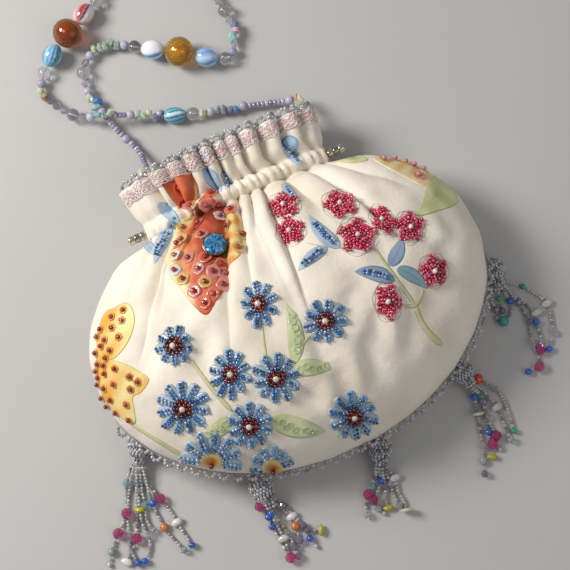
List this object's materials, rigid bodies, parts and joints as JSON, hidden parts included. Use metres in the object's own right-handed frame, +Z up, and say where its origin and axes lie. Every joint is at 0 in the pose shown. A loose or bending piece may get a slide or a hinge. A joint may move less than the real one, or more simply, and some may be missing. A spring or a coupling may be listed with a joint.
{
  "type": "beaded shoulder bag",
  "caption": "Gathered cloth pouch bag lying on its back, with a frilled drawstring mouth, lace band, bead edging, bead tassels and a long bead strap.",
  "frame": {"origin": "on the floor, in the middle of the flattened back of the pouch", "axes": "+X along the mouth, to the right when the front is seen with the mouth upwards; +Y from the pouch to the mouth; +Z up, out of the front"},
  "size_m": [0.2134, 0.4057, 0.0548],
  "materials": {
    "cloth": "cream silk, lined, with a printed and beaded flower pattern",
    "lace": "looped pink lace",
    "clear_beads": "clear and grey seed beads",
    "mixed_beads": "seed beads, frosted rounds, stone chips and clear rounds",
    "striped_glass": "striped glossy glass",
    "amber_glass": "amber glass with bubbles",
    "blue_stone": "cut and foiled glass stone",
    "bead_metal": "antique pale metal"
  },
  "bodies": {
    "root": {"front_panel": "cloth", "back_panel": "cloth", "lace_front": "lace", "lace_back": "lace", "mouth_picots_front": "clear_beads", "mouth_picots_back": "clear_beads", "seam_picots": "clear_beads", "drawstring_beads_left": "bead_metal", "drawstring_beads_right": "bead_metal", "rhinestone_cup": "bead_metal", "rhinestone": "blue_stone", "tassel_1_cap": "clear_beads", "tassel_2_cap": "clear_beads", "tassel_3_cap": "clear_beads", "tassel_4_cap": "clear_beads", "tassel_5_cap": "clear_beads", "tassel_1_strands": "mixed_beads", "tassel_2_strands": "mixed_beads", "tassel_3_strands": "mixed_beads", "tassel_4_strands": "mixed_beads", "tassel_5_strands": "mixed_beads", "strap_barrel_1": "striped_glass", "strap_oval_1": "striped_glass", "strap_oval_2": "striped_glass", "strap_oval_3": "striped_glass", "strap_oval_4": "striped_glass", "strap_oval_5": "striped_glass", "strap_oval_6": "striped_glass", "strap_oval_7": "striped_glass", "strap_oval_8": "striped_glass", "strap_round_1": "amber_glass", "strap_round_2": "amber_glass", "strap_round_3": "amber_glass", "strap_round_4": "amber_glass", "strap_strand_1a": "mixed_beads", "strap_strand_1b": "mixed_beads", "strap_strand_2a": "mixed_beads", "strap_strand_2b": "mixed_beads", "strap_strand_3a": "mixed_beads", "strap_strand_3b": "mixed_beads", "strap_strand_4a": "mixed_beads", "strap_strand_4b": "mixed_beads", "strap_strand_5a": "mixed_beads", "strap_strand_5b": "mixed_beads", "strap_strand_5c": "mixed_beads", "strap_strand_6a": "mixed_beads", "strap_strand_6b": "mixed_beads", "strap_strand_6c": "mixed_beads"}
  },
  "joints": []
}
